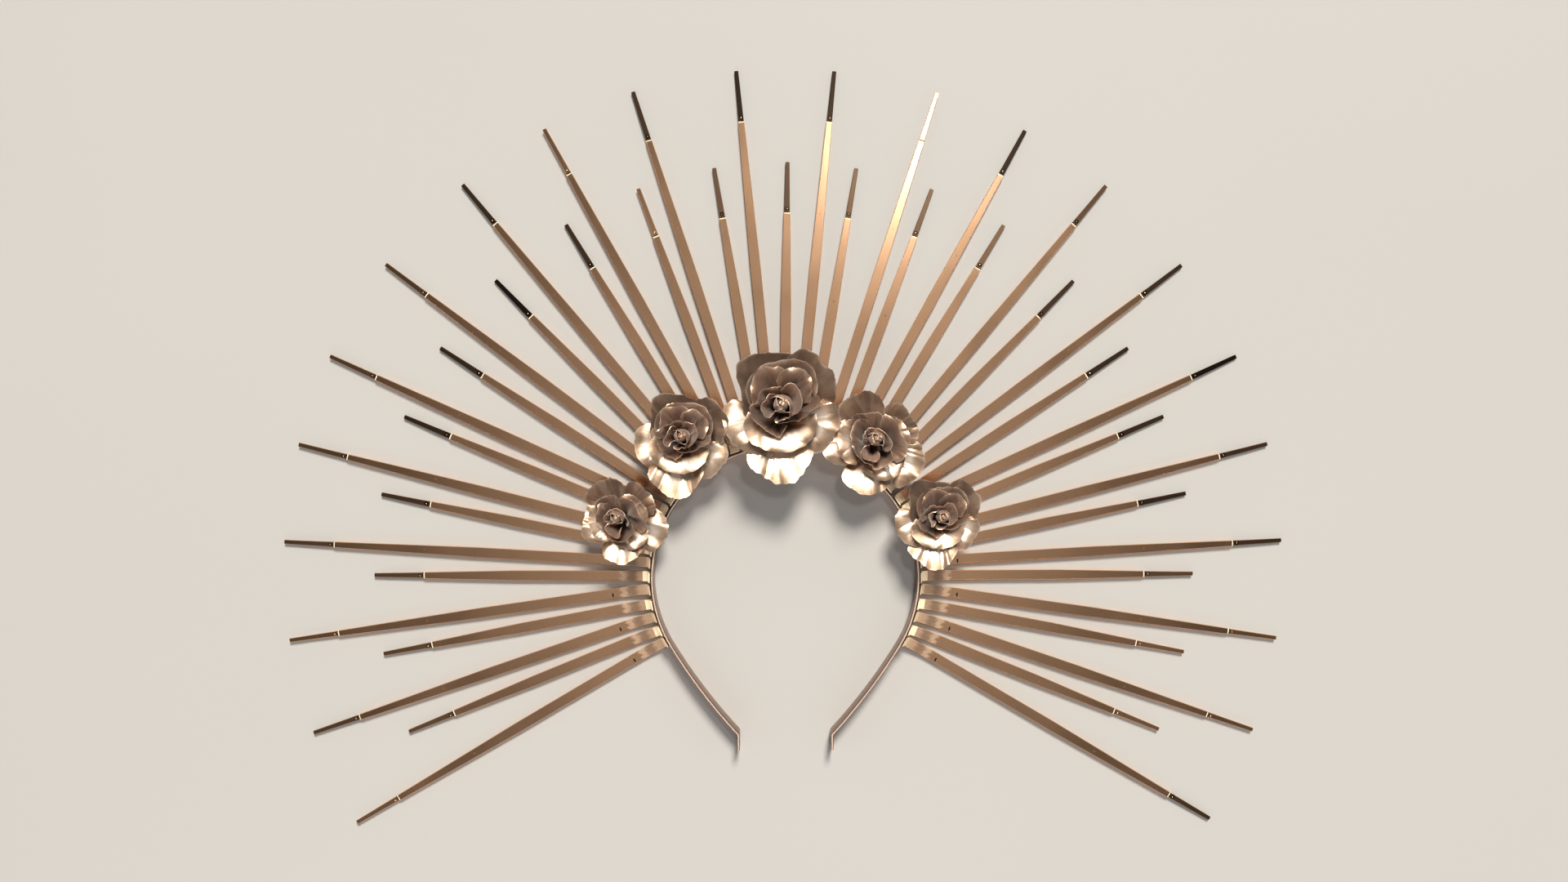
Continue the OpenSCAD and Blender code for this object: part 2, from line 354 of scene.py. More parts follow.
def strap_paint():
    """Bronze-gold paint over moulded plastic: faint mould lines; painted dark reflections on the tails,
    deeper round the pip, with painted shade just past the step and in the slits; a dull stretch with a dark
    patch near the band, which paint in the reflections of the rise; pale blocks of painted highlight at
    the foot and the lip; and painted shade on the inside of the foot."""
    paint = Paint("ray_paint", metallic=STRAP_METAL[0], roughness=0.25)
    strap = paint.attribute("strap")
    out, across, pale = [paint.part(strap, axis) for axis in range(3)]
    tails = paint.attribute("tail")
    tail, lip, along = [paint.part(tails, axis) for axis in range(3)]
    # Painted dark reflection on the tail, deeper round the pip
    from_pip = paint.math("ADD", paint.times(along, along), paint.times(across, across))
    tail = paint.times(tail, paint.ramp(from_pip, *PIP_RING, 1.0, RING_DARK))
    tail = paint.math("MINIMUM", tail, 1.0)
    ragged = paint.noise(paint.attribute("strap", (0.12, 0.5, 0.0)), scale=1.0, detail=3.0)
    ragged = paint.math("ADD", out, paint.ramp(ragged, *NOISE, -1.1, 1.1))
    frayed = paint.noise(paint.attribute("strap", (0.7, 0.9, 3.0)), scale=1.0, detail=4.0)
    frayed = paint.math("ADD", out, paint.ramp(frayed, *NOISE, -1.4, 1.4))
    # Painted reflection of the rise: a dull lighter stretch and a dark patch
    dull = paint.times(paint.ramp(ragged, *DULL_END), 0.45)
    patch = paint.times(paint.ramp(ragged, *PATCH_START), paint.ramp(frayed, *PATCH_END))
    # Painted highlight: the pale blocks at the foot and on the lip
    highlight_block = paint.times(paint.ramp(out, PALE_LEN, PALE_LEN - BLOCK_EDGE), pale)
    highlight_block = paint.math("MAXIMUM", highlight_block, lip)
    # Painted shade on the hidden inside of the foot
    inside = paint.ramp(out, *FOOT_INSIDE)
    lines = paint.noise(paint.attribute("strap", (0.015, 1.6, 0.0)), scale=1.0, detail=2.0)
    grain = paint.noise(paint.position(), scale=1500.0, detail=2.0)
    cloud = paint.noise(paint.position(), scale=30.0, detail=2.0)
    colour = paint.mix(paint.ramp(cloud, *NOISE), *STRAP_TONES)
    colour = paint.mix(dull, colour, RISE_REFLECTION_GOLD)
    colour = paint.mix(paint.times(patch, 0.62), colour, RISE_REFLECTION_BROWN)
    colour = paint.mix(highlight_block, colour, HIGHLIGHT_GOLD)
    colour = paint.mix(inside, colour, FOOT_SHADE_BROWN)
    colour = paint.mix(tail, colour, PAINTED_DARK_BROWN)
    roughness = paint.ramp(cloud, *NOISE, 0.23, 0.27)
    roughness = paint.math("ADD", roughness, paint.times(tail, 0.08))
    matt = paint.math("MAXIMUM", highlight_block, dull)
    paint.link(paint.ramp(matt, 0.0, 1.0, *STRAP_METAL), paint.bsdf.inputs["Metallic"])
    normal = paint.bump(lines, strength=0.20, distance=0.00002)
    normal = paint.bump(grain, strength=0.10, distance=0.000012, below=normal)
    return paint.finish(colour, roughness, normal)


# The band's paint between two tones, its pale line of painted highlight, and how metallic each of them is
BAND_TONES = ((0.22, 0.128, 0.090), (0.29, 0.172, 0.120))
BAND_HIGHLIGHT = (0.66, 0.500, 0.400)
BAND_METAL = (0.92, 0.20)


def band_paint():
    """Reddish-brown gold paint on metal, and a painted highlight: a pale line along the front edge."""
    paint = Paint("band_paint", metallic=BAND_METAL[0], roughness=0.26)
    edge_highlight = paint.ramp(paint.part(paint.attribute("edge"), 0), 0.35, 0.75)
    grain = paint.noise(paint.position(), scale=900.0, detail=2.0)
    cloud = paint.noise(paint.position(), scale=60.0, detail=2.0)
    colour = paint.mix(paint.ramp(cloud, *NOISE), *BAND_TONES)
    colour = paint.mix(edge_highlight, colour, BAND_HIGHLIGHT)
    roughness = paint.ramp(cloud, *NOISE, 0.23, 0.30)
    paint.link(paint.ramp(edge_highlight, 0.0, 1.0, *BAND_METAL), paint.bsdf.inputs["Metallic"])
    normal = paint.bump(grain, strength=0.10, distance=0.00001)
    return paint.finish(colour, roughness, normal)


# The petals' paint, with its rose gold between two tones
PETAL_TONES = ((0.40, 0.272, 0.185), (0.56, 0.395, 0.280))
# Painted rosy light, on the inner petals
ROSY_LIGHT = (0.62, 0.380, 0.285)
VEIN_BROWN = (0.28, 0.190, 0.135)
WEAVE_BROWN = (0.26, 0.175, 0.125)
# Painted shade: dark towards each petal's base, on the back and inner petals, most on the bud
SHADE_BROWN = (0.14, 0.090, 0.062)
# Painted highlight, cream, down the middle of the lower petals
HIGHLIGHT_CREAM = (0.94, 0.850, 0.750)
RIM_PALE = (0.86, 0.730, 0.600)
# Radians of the weave's waves in a millimetre of cloth, which puts its threads 0.5 mm apart
THREAD = 12.6


def petal_paint():
    """Stiff woven cloth sprayed rose gold: threads, veins that fan out to the rim, a thin paler rim, and
    painted shade towards each petal's base. A shade below 0 paints a cream highlight and one above 0
    painted shade, and the inner petals get painted rosy light and are matt."""
    paint = Paint("rose_petal", metallic=0.94, roughness=0.44)
    paint.bsdf.inputs["Sheen Weight"].default_value = 0.08
    outward = paint.part(paint.attribute("sheet"), 1)
    hearts = paint.attribute("heart")
    rosy, shaded, matt = [paint.part(hearts, axis) for axis in range(3)]
    warp = paint.math("SINE", paint.part(paint.attribute("cloth", (THREAD, 1, 1)), 0))
    weft = paint.math("SINE", paint.part(paint.attribute("cloth", (1, THREAD, 1)), 1))
    weave = paint.math("ADD", warp, weft)
    veins = paint.noise(paint.attribute("sheet", (11.0, 1.2, 7.0)), scale=1.0, detail=4.0)
    stains = paint.noise(paint.position(), scale=130.0, detail=4.0)
    colour = paint.mix(paint.ramp(stains, 0.38, 0.62), *PETAL_TONES)
    # Painted rosy light on the inner petals
    colour = paint.mix(paint.times(rosy, 0.60), colour, ROSY_LIGHT)
    colour = paint.mix(paint.times(paint.ramp(veins, 0.48, 0.66), 0.35), colour, VEIN_BROWN)
    colour = paint.mix(paint.times(paint.ramp(weave, -0.4, -1.6), 0.16), colour, WEAVE_BROWN)
    # Painted shade: darker towards the petal's base and wherever the shade share is above 0
    painted_shade = paint.times(paint.ramp(outward, 0.80, 0.25), 0.80)
    painted_shade = paint.math("MAXIMUM", painted_shade, shaded)
    colour = paint.mix(painted_shade, colour, SHADE_BROWN)
    # Painted highlight: cream where the shade share is below 0
    colour = paint.mix(paint.ramp(shaded, 0.0, -1.0), colour, HIGHLIGHT_CREAM)
    # Paler along the rim, in patches
    pale_rim = paint.times(paint.ramp(outward, 0.955, 0.995), paint.ramp(stains, 0.40, 0.60))
    colour = paint.mix(paint.times(pale_rim, 0.40), colour, RIM_PALE)
    roughness = paint.ramp(paint.math("ADD", stains, veins), 0.75, 1.25, 0.38, 0.50)
    roughness = paint.math("ADD", roughness, paint.times(matt, 0.22))
    normal = paint.bump(veins, strength=0.45, distance=0.0003)
    normal = paint.bump(stains, strength=0.35, distance=0.0006, below=normal)
    normal = paint.bump(weave, strength=0.40, distance=0.000007, below=normal)
    return paint.finish(colour, roughness, normal)


# The floor's paint, between two tones
FLOOR_TONES = ((0.70, 0.686, 0.664), (0.74, 0.725, 0.702))


def floor_paint():
    """Pale matt floor with a faint unevenness."""
    paint = Paint("floor", metallic=0.0, roughness=0.75)
    cloud = paint.noise(paint.position(), scale=3.0, detail=2.0)
    paint.link(paint.mix(cloud, *FLOOR_TONES), paint.bsdf.inputs["Base Color"])
    return paint.material


# The band

def unit(angle):
    """The unit vector at an angle from the right, turning up."""
    return np.array([math.cos(math.radians(angle)), math.sin(math.radians(angle))])


def arc(centre, radius, start, end, steps):
    """Points of an arc and its outward normals."""
    return [(centre + radius * unit(a), unit(a)) for a in np.linspace(start, end, steps)]


def band_path():
    """Points and outward normals along the middle of the band, from the left end to the right end."""
    leg_end = LEG_START + LEG_TURN
    leg_centre = FAN - (LEG_R - BAND_R) * unit(-LEG_START)
    kink_centre = leg_centre + (LEG_R + KINK_R) * unit(-leg_end)
    right = arc(FAN, BAND_R, 90.0, -LEG_START, steps=90)
    right += arc(leg_centre, LEG_R, -LEG_START, -leg_end, steps=24)[1:]
    kink = arc(kink_centre, KINK_R, 180.0 - leg_end, 180.0, steps=8)[1:]
    right += [(p, -n) for p, n in kink]
    stop = kink[-1][0] - np.array([0.0, END_LEN])
    right += [(stop + np.array([0.0, step]), np.array([1.0, 0.0])) for step in (3.0, 0.0)]
    flip = np.array([-1.0, 1.0])
    left = [(p * flip, n * flip) for p, n in right[:0:-1]]
    return left + right


def headband():
    """The strip with rounded edges, lofted along its path."""
    half_t, half_w, e = BAND_T / 2, BAND_W / 2, BAND_EDGE
    corner = [(math.cos(a), math.sin(a)) for a in np.radians((0, 30, 60, 90))]
    outline, edge = [], []
    for sx, sz in ((1, 1), (-1, 1), (-1, -1), (1, -1)):
        turn = corner if sx * sz > 0 else corner[::-1]
        ring = [(sx * (half_t - e + e * cx), sz * (half_w - e + e * cz)) for cx, cz in turn]
        if sz > 0:
            ring.insert(len(ring) if sx > 0 else 0, (sx * BAND_LINE, half_w))
        outline += ring
        # The pale line of painted highlight along the front edge
        edge += [1.0 if sz > 0 and abs(off) <= BAND_LINE else 0.0 for off, _ in ring]
    path = band_path()
    middle = (BAND_LO[2] + BAND_HI[2]) / 2
    sections = [np.array([(p[0] + n[0] * off, p[1] + n[1] * off, middle + z) for off, z in outline])
                for p, n in path]
    points, faces = loft(sections)
    extra = {"edge": np.tile(np.array([(v, 0, 0) for v in edge]), (len(path), 1))}
    parts = [(points, faces, extra)]
    return mesh_piece("headband_strip", parts, BAND_PAINT, "headband", sharp=35.0)


# The straps

def strap_line(node):
    """Middle of a strap's foot, its direction and the distance to its tip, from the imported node."""
    points = np.array([v.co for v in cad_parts[node].data.vertices]) / MM
    points = np.unique(points.round(3), axis=0)
    foot = points[points[:, 2] > points[:, 2].max() - NEAR].mean(0)
    away = np.hypot(points[:, 0] - FAN[0], points[:, 1] - FAN[1])
    tip = points[away > away.max() - TIP_REACH].mean(0)
    line = tip[:2] - foot[:2]
    length = math.hypot(*line)
    return foot, line / length, length


def half_width(out, length, kind):
    """Half width of a strap at a distance from its foot."""
    from_tip = length - out
    if from_tip < TAIL_LEN:
        return (TIP_W + (kind["tail_w"] - TIP_W) * from_tip / TAIL_LEN) / 2
    share = min(1.0, (from_tip - TAIL_LEN) / (kind["taper"] - TAIL_LEN))
    return (kind["step_w"] + (RAY_W - kind["step_w"]) * share) / 2


def strap_section(half, front, back, recess, slit):
    """Loop across a strap, (side, height) from its middle: bevelled edges and a sunk face between rims."""
    s = half / (RAY_W / 2)
    inner = half - RIM * s
    low = front - recess
    loop = [(-half, back + EDGE), (-half, front - EDGE), (-half + EDGE, front)]
    loop += [(-inner, front), (-inner + SLOPE, low)]
    loop += [(y * s, low - depth) for y, depth in zip(SLIT_SIDES, (0.0, slit, slit, 0.0))]
    loop += [(inner - SLOPE, low), (inner, front)]
    loop += [(half - EDGE, front), (half, front - EDGE), (half, back + EDGE)]
    loop += [(half - EDGE, back), (-half + EDGE, back)]
    return loop


def strap_stations(length, foot_z, kind, bend_back):
    """Rows along a strap: (out, z, lean, half width, front, back, recess, slit depth). Lean turns the
    front face from straight up at 0 to facing outwards at 90 degrees."""
    half_t, full = RAY_T / 2, RAY_W / 2
    bend_z = RAY_Z + RISE_R - (RISE_R - BEND_R) * math.cos(math.radians(RISE_TURN))
    flat_from = BEND_R + (RISE_R - BEND_R) * math.sin(math.radians(RISE_TURN))
    rows = []

    def row(out, z, lean, half, front=half_t, back=-half_t, recess=0.0, depth=0.0):
        rows.append((out, z, lean, half, front, back, recess, depth))

    def flat(out, depth=0.0):
        row(out, RAY_Z, 0.0, half_width(out, length, kind), recess=RECESS, depth=depth)

    for below, narrower, in_front, behind in FOOT_END:
        row(0.0, foot_z - below, 90.0, full - narrower, half_t - in_front, -half_t + behind)
    for a in np.linspace(180.0, 270.0 - RISE_TURN, 13):
        t = math.radians(a)
        row(BEND_R + BEND_R * math.cos(t), bend_z + BEND_R * math.sin(t), 270.0 - a, full)
    for a in np.linspace(270.0 - RISE_TURN, 270.0, 7)[1:]:
        t = math.radians(a)
        out, z = flat_from + RISE_R * math.cos(t), RAY_Z + RISE_R + RISE_R * math.sin(t)
        row(out, z, 270.0 - a, full, recess=RECESS)
    if kind["slit"]:
        flat(SLIT_AT - SLIT_LEN / 2 - SLIT_WALL)
        flat(SLIT_AT - SLIT_LEN / 2, SLIT_DEPTH)
        flat(SLIT_AT + SLIT_LEN / 2, SLIT_DEPTH)
        flat(SLIT_AT + SLIT_LEN / 2 + SLIT_WALL)
    tail_from = length - TAIL_LEN
    taper_from = length - kind["taper"]
    for out in np.linspace(SLIT_AT + PAST_SLIT, taper_from, 6):
        flat(out)
    for out in np.linspace(taper_from, tail_from - LIP - LIP_WALL, 8)[1:]:
        flat(out)
    flat(tail_from - LIP)
    flat(tail_from - LIP_TOP)
    # The step down to the tail, with its worn edges
    step_half, tail_half = kind["step_w"] / 2, kind["tail_w"] / 2
    tail_front = TAIL_T - half_t
    row(tail_from - 0.05, RAY_Z, 0.0, step_half, half_t - 0.25)
    row(tail_from, RAY_Z, 0.0, step_half - 0.05, tail_front + 0.02)
    row(tail_from + 0.02, RAY_Z, 0.0, tail_half, tail_front)
    row(tail_from + STEP_LEN, RAY_Z, 0.0, tail_half, tail_front)
    for out in np.linspace(tail_from + 0.5, length - END_BEVEL, 6):
        drop = TAIL_DROP * bend_back * ((out - tail_from) / TAIL_LEN) ** 1.3
        row(out, RAY_Z - drop, 0.0, half_width(out, length, kind), tail_front, -half_t + 0.1)
    row(length, RAY_Z - TAIL_DROP * bend_back, 0.0, TIP_W / 2 - 0.12, tail_front - 0.1, -half_t + 0.2)
    return rows


def strap(node, kind, bend_back):
    """One strap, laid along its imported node."""
    foot, direction, length = strap_line(node)
    side = np.array([-direction[1], direction[0]])
    flip = -1.0 if direction[0] < 0 else 1.0
    whole = direction[1] > UPWARDS or not kind["slit"]

    def place(out, y, z):
        xy = foot[:2] + direction * out + side * y * flip
        return (xy[0], xy[1], z)

    sections, marks, tails = [], [], []
    for out, z, lean, half, front, back, recess, slit in strap_stations(length, foot[2], kind, bend_back):
        nx, nz = math.sin(math.radians(lean)), math.cos(math.radians(lean))
        loop = strap_section(half, front, back, recess, slit)
        sections.append(np.array([place(out + nx * t, y, z + nz * t) for y, t in loop]))
        # The painted highlight on a standing foot's top, and painted shade marked on its hidden inside
        standing = lean > STANDING
        at_top = standing and z > foot[2] - FOOT_TOP
        pale = 1.0 if whole else FOOT_PALE if at_top else LONG_PALE
        hidden = standing and z < foot[2] - FOOT_HIDDEN
        marks += [(FOOT_MARK if hidden and t < 0.0 else out, y, pale) for y, t in loop]
        # Painted dark reflection on a bent-back tail, painted shadow just past the step, painted shade in a
        # slit
        past = out - (length - TAIL_LEN)
        tail = 0.0 if past < NEAR else 1.0 if past < STEP_LEN + NEAR else TAIL_DARK[bend_back]
        # The lip before the step carries a painted highlight
        lip = 1.0 if -LIP - NEAR < past < NEAR else 0.0
        tails += [(1.0 if slit and front - t > slit else tail, lip, past - PIP_AT) for _, t in loop]
    points, faces = loft(sections)
    if flip < 0:
        faces = [face[::-1] for face in faces]
    parts = [(points, faces, {"strap": marks, "tail": tails})]
    front = RAY_Z + RAY_T / 2
    tail_front = RAY_Z - RAY_T / 2 + TAIL_T
    spots = [((length - kind["mark"], 0.0, front - RECESS), MARK),
             ((length - TAIL_LEN + PIP_AT, 0.0, tail_front), PIP)]
    if kind["slit"]:
        spots += [((out, RAY_W / 2 - STUD_IN, front), STUD) for out in (SLIT_AT, SLIT_AT + STUD_GAP)]
    for (out, y, z), size in spots:
        points, faces = dome(place(out, y, z), *size)
        plain_paint = {"strap": [(out, y, 0)] * len(points), "tail": [(0, 0, TAIL_LEN)] * len(points)}
        parts.append((points, faces, plain_paint))
    return mesh_piece(node + "_strap", parts, STRAP_PAINT, node, sharp=20.0)


# The roses

# Petals from the outside in, as (form, base height, lip, rim). A rim point is (x, y, z), with x and y
# in half widths from the rose's axis and z as a share of its depth. A lip is how far the rim rolls back.
OPEN_PETALS = (
    ("tongue", 0.10, 0.02, (
        (-0.52, -0.52, 0.36), (-0.58, -0.80, 0.41), (-0.49, -0.98, 0.44), (-0.28, -1.10, 0.46),
        (-0.04, -1.23, 0.47), (0.26, -1.18, 0.47), (0.46, -0.94, 0.45), (0.66, -0.66, 0.40))),
    ("back", 0.08, 0.0, (
        (-0.44, -0.36, 0.36), (-0.66, -0.06, 0.45), (-0.68, 0.28, 0.52), (-0.73, 0.66, 0.60),
        (-0.54, 0.84, 0.62), (-0.20, 0.88, 0.61), (0.14, 0.87, 0.58), (0.44, 0.78, 0.52),
        (0.60, 0.60, 0.46))),
    ("back", 0.12, 0.0, (
        (-0.06, 0.52, 0.50), (0.04, 0.76, 0.57), (0.18, 0.88, 0.62), (0.38, 0.96, 0.64),
        (0.56, 0.88, 0.64), (0.73, 0.71, 0.63), (0.87, 0.60, 0.60), (0.90, 0.42, 0.57),
        (0.89, 0.20, 0.52), (0.80, -0.04, 0.46), (0.66, -0.20, 0.42))),
    ("spread", 0.13, 0.07, (
        (0.60, 0.20, 0.46), (0.70, 0.10, 0.50), (0.82, 0.12, 0.51), (0.94, 0.02, 0.50),
        (1.00, -0.22, 0.48), (0.90, -0.42, 0.46), (0.76, -0.66, 0.43), (0.58, -0.76, 0.41),
        (0.34, -0.74, 0.38))),
    ("spread", 0.13, 0.05, (
        (-0.60, 0.12, 0.38), (-0.80, 0.15, 0.43), (-0.94, 0.03, 0.46), (-0.97, -0.14, 0.48),
        (-0.92, -0.38, 0.48), (-0.80, -0.58, 0.47), (-0.60, -0.70, 0.46), (-0.30, -0.77, 0.45),
        (-0.04, -0.74, 0.42))),
    ("bowl", 0.40, 0.015, (
        (-0.60, -0.02, 0.68), (-0.62, -0.30, 0.65), (-0.51, -0.52, 0.62), (-0.30, -0.65, 0.60),
        (-0.06, -0.70, 0.59), (0.18, -0.68, 0.59), (0.40, -0.58, 0.61), (0.57, -0.36, 0.64),
        (0.65, -0.04, 0.68))),
    ("cup", 0.20, 0.0, (
        (-0.52, -0.04, 0.68), (-0.57, 0.30, 0.73), (-0.47, 0.55, 0.76), (-0.31, 0.70, 0.77),
        (-0.05, 0.77, 0.77), (0.19, 0.79, 0.77), (0.37, 0.75, 0.77), (0.51, 0.62, 0.76),
        (0.60, 0.40, 0.74), (0.64, 0.14, 0.70))),
    ("cup", 0.20, 0.04, (
        (0.16, 0.64, 0.79), (-0.04, 0.69, 0.80), (-0.22, 0.71, 0.81), (-0.34, 0.68, 0.82),
        (-0.43, 0.56, 0.83), (-0.47, 0.40, 0.83), (-0.48, 0.22, 0.81), (-0.46, 0.02, 0.77))),
    ("cup", 0.20, 0.04, (
        (-0.10, 0.50, 0.80), (0.02, 0.60, 0.82), (0.16, 0.66, 0.84), (0.30, 0.66, 0.85),
        (0.40, 0.59, 0.85), (0.48, 0.46, 0.85), (0.51, 0.30, 0.83), (0.50, 0.10, 0.79))),
    ("cup", 0.22, 0.0, (
        (0.66, 0.26, 0.82), (0.62, 0.14, 0.81), (0.56, 0.05, 0.79), (0.46, -0.05, 0.76),
        (0.34, -0.15, 0.73), (0.18, -0.20, 0.71), (0.02, -0.25, 0.70), (-0.12, -0.22, 0.70))),
    ("cup", 0.22, 0.0, (
        (-0.50, 0.14, 0.84), (-0.47, -0.10, 0.80), (-0.38, -0.25, 0.74), (-0.27, -0.33, 0.70),
        (-0.13, -0.40, 0.66), (-0.02, -0.46, 0.63), (0.05, -0.37, 0.65), (0.12, -0.28, 0.68))),
    ("cup", 0.26, 0.035, (
        (0.04, 0.38, 0.89), (-0.09, 0.37, 0.91), (-0.21, 0.34, 0.92), (-0.32, 0.27, 0.92),
        (-0.42, 0.16, 0.90), (-0.49, 0.03, 0.87), (-0.48, -0.08, 0.84))),
    ("wrap", 0.34, 0.0, (
        (-0.02, 0.40, 0.90), (0.13, 0.42, 0.91), (0.26, 0.34, 0.91), (0.33, 0.20, 0.90),
        (0.32, 0.05, 0.88), (0.25, -0.07, 0.86), (0.14, -0.14, 0.84))),
    ("wrap", 0.36, 0.03, (
        (0.22, -0.02, 0.88), (0.15, -0.11, 0.88), (0.06, -0.16, 0.88), (-0.04, -0.19, 0.87),
        (-0.14, -0.18, 0.86))),
    ("wrap", 0.36, 0.0, (
        (-0.10, 0.28, 0.96), (-0.20, 0.25, 0.96), (-0.27, 0.17, 0.95), (-0.30, 0.06, 0.94),
        (-0.28, -0.06, 0.92), (-0.21, -0.15, 0.90), (-0.13, -0.06, 0.91))),
)
ROUND_PETALS = (
    ("tongue", 0.10, 0.03, (
        (-0.50, -0.30, 0.32), (-0.62, -0.57, 0.39), (-0.59, -0.74, 0.42), (-0.42, -0.88, 0.44),
        (-0.18, -1.00, 0.44), (0.04, -0.95, 0.44), (0.22, -0.87, 0.44), (0.38, -0.72, 0.43),
        (0.54, -0.42, 0.40))),
    ("back", 0.08, 0.0, (
        (-0.62, 0.40, 0.40), (-0.74, 0.62, 0.46), (-0.72, 0.80, 0.49), (-0.50, 0.96, 0.51),
        (-0.30, 1.03, 0.52), (-0.14, 1.09, 0.52), (0.03, 1.05, 0.52), (0.16, 0.93, 0.51),
        (0.30, 0.72, 0.48))),
    ("spread", 0.08, 0.05, (
        (0.84, 0.24, 0.38), (0.98, 0.02, 0.39), (1.04, -0.17, 0.39), (1.07, -0.33, 0.38),
        (1.02, -0.52, 0.37), (0.88, -0.66, 0.36), (0.69, -0.80, 0.35), (0.52, -0.88, 0.34),
        (0.30, -0.76, 0.33))),
    ("spread", 0.10, 0.04, (
        (-0.52, 0.56, 0.42), (-0.72, 0.56, 0.45), (-0.82, 0.36, 0.46), (-0.95, 0.08, 0.46),
        (-1.01, -0.10, 0.45), (-0.97, -0.25, 0.44), (-0.78, -0.38, 0.43), (-0.52, -0.46, 0.40))),
    ("back", 0.12, 0.02, (
        (0.16, 0.72, 0.49), (0.34, 0.86, 0.54), (0.50, 0.85, 0.56), (0.64, 0.77, 0.56),
        (0.74, 0.57, 0.55), (0.83, 0.42, 0.53), (0.90, 0.22, 0.50), (0.92, 0.00, 0.46))),
    ("bowl", 0.36, 0.02, (
        (-0.46, 0.62, 0.68), (-0.60, 0.50, 0.68), (-0.71, 0.28, 0.67), (-0.73, 0.08, 0.65),
        (-0.70, -0.14, 0.62), (-0.60, -0.29, 0.60), (-0.38, -0.42, 0.58))),
    ("bowl", 0.34, 0.02, (
        (0.20, 0.68, 0.66), (0.44, 0.57, 0.69), (0.60, 0.40, 0.70), (0.70, 0.20, 0.68),
        (0.68, 0.00, 0.65), (0.58, -0.20, 0.62))),
    ("bowl", 0.36, 0.03, (
        (0.60, -0.02, 0.64), (0.60, -0.34, 0.60), (0.46, -0.58, 0.57), (0.20, -0.68, 0.55),
        (-0.06, -0.61, 0.54), (-0.32, -0.44, 0.55))),
    ("cup", 0.20, 0.0, (
        (-0.52, 0.40, 0.73), (-0.44, 0.60, 0.76), (-0.16, 0.68, 0.78), (0.06, 0.67, 0.79),
        (0.20, 0.58, 0.78))),
    ("cup", 0.20, 0.03, (
        (-0.14, 0.58, 0.81), (-0.36, 0.56, 0.82), (-0.45, 0.38, 0.82), (-0.50, 0.20, 0.81),
        (-0.46, 0.02, 0.79), (-0.38, -0.14, 0.76), (-0.26, -0.30, 0.73))),
    ("cup", 0.20, 0.03, (
        (0.08, 0.50, 0.82), (0.18, 0.62, 0.84), (0.34, 0.55, 0.84), (0.46, 0.39, 0.83),
        (0.55, 0.20, 0.81), (0.63, 0.02, 0.78), (0.60, -0.20, 0.74), (0.46, -0.36, 0.70))),
    ("cup", 0.26, 0.0, (
        (-0.30, -0.06, 0.80), (-0.27, -0.28, 0.77), (-0.12, -0.37, 0.75), (-0.01, -0.44, 0.74),
        (0.20, -0.36, 0.75), (0.36, -0.23, 0.78), (0.32, -0.04, 0.80))),
    ("wrap", 0.34, 0.0, (
        (-0.27, 0.08, 0.88), (-0.28, 0.24, 0.90), (-0.19, 0.35, 0.91), (-0.08, 0.38, 0.91),
        (0.02, 0.37, 0.90))),
    ("wrap", 0.34, 0.0, (
        (-0.10, 0.32, 0.92), (0.02, 0.37, 0.93), (0.16, 0.30, 0.93), (0.25, 0.17, 0.91),
        (0.28, 0.00, 0.88), (0.22, -0.12, 0.86))),
    ("wrap", 0.36, 0.0, (
        (-0.16, 0.10, 0.87), (-0.24, 0.05, 0.88), (-0.28, -0.06, 0.88), (-0.24, -0.20, 0.87),
        (-0.10, -0.27, 0.87), (0.03, -0.23, 0.88), (0.10, -0.09, 0.90))),
)
# A petal's side view, as the inner control points' shares of the way out and up from base to rim,
# then its base's radius in half widths, the depth of its folds in millimetres and how much of its
# length its round corners take off
PETAL_FORMS = {
    "tongue": (0.10, 0.60, 0.50, 0.76, 0.28, 2.0, 0.12),
    "spread": (0.12, 0.50, 0.50, 0.98, 0.26, 1.7, 0.16),
    "back": (0.20, 0.42, 0.58, 0.78, 0.26, 1.7, 0.16),
    "bowl": (0.28, 0.38, 0.62, 0.88, 0.22, 1.0, 0.14),
    "cup": (0.15, 0.35, 0.58, 0.84, 0.14, 1.1, 0.10),
    "wrap": (0.30, 0.40, 0.68, 0.86, 0.07, 0.9, 0.25),
}
# The paint on the petals that have no painted highlight down the middle, by form, as (rosy, shaded,
# matt): how much painted rosy light and painted shade they have, and how much rougher they are
HEART = {
    "back": (0.0, 0.60, 0.0),
    "cup": (0.6, 0.50, 0.0),
    "wrap": (0.9, 0.44, 0.4),
    "bud": (1.0, 0.84, 1.0),
}
# Petals with a painted highlight down the middle: how much painted shade they have round it, how much
# less at its brightest, where that is as a share of the way to the rim, and how far it reaches across and
# along the petal
LIT_MIDDLE_FORMS = ("tongue", "spread", "bowl")
RIM_SHADE = 0.50
MIDDLE_LIGHT = 1.50
LIGHT_AT = 0.60
LIGHT_ACROSS = 0.75
LIGHT_ALONG = 0.27
# The roses, as (node, petals, where the bud is in half widths, turn, seed)
ROSES = (
    ("rose_centre", OPEN_PETALS, (0.015, 0.08), 0.0, 1),
    ("rose_left_upper", OPEN_PETALS, (0.015, 0.08), -11.0, 2),
    ("rose_right_upper", ROUND_PETALS, (0.00, 0.16), 0.0, 3),
    ("rose_left_lower", ROUND_PETALS, (0.00, 0.16), 11.0, 4),
    ("rose_right_lower", OPEN_PETALS, (0.015, 0.08), -6.0, 5),
)
# A petal's thickness, how much of that lies on each side of its middle at the base and at the rim,
# and its grid
PETAL_T = 0.34
PETAL_SIDES = (0.5, 0.28)
PETAL_ACROSS = 60
PETAL_ALONG = 28
# How strongly a petal's base is drawn from each rim point's direction to the middle one
BASE_TURN = 1.2
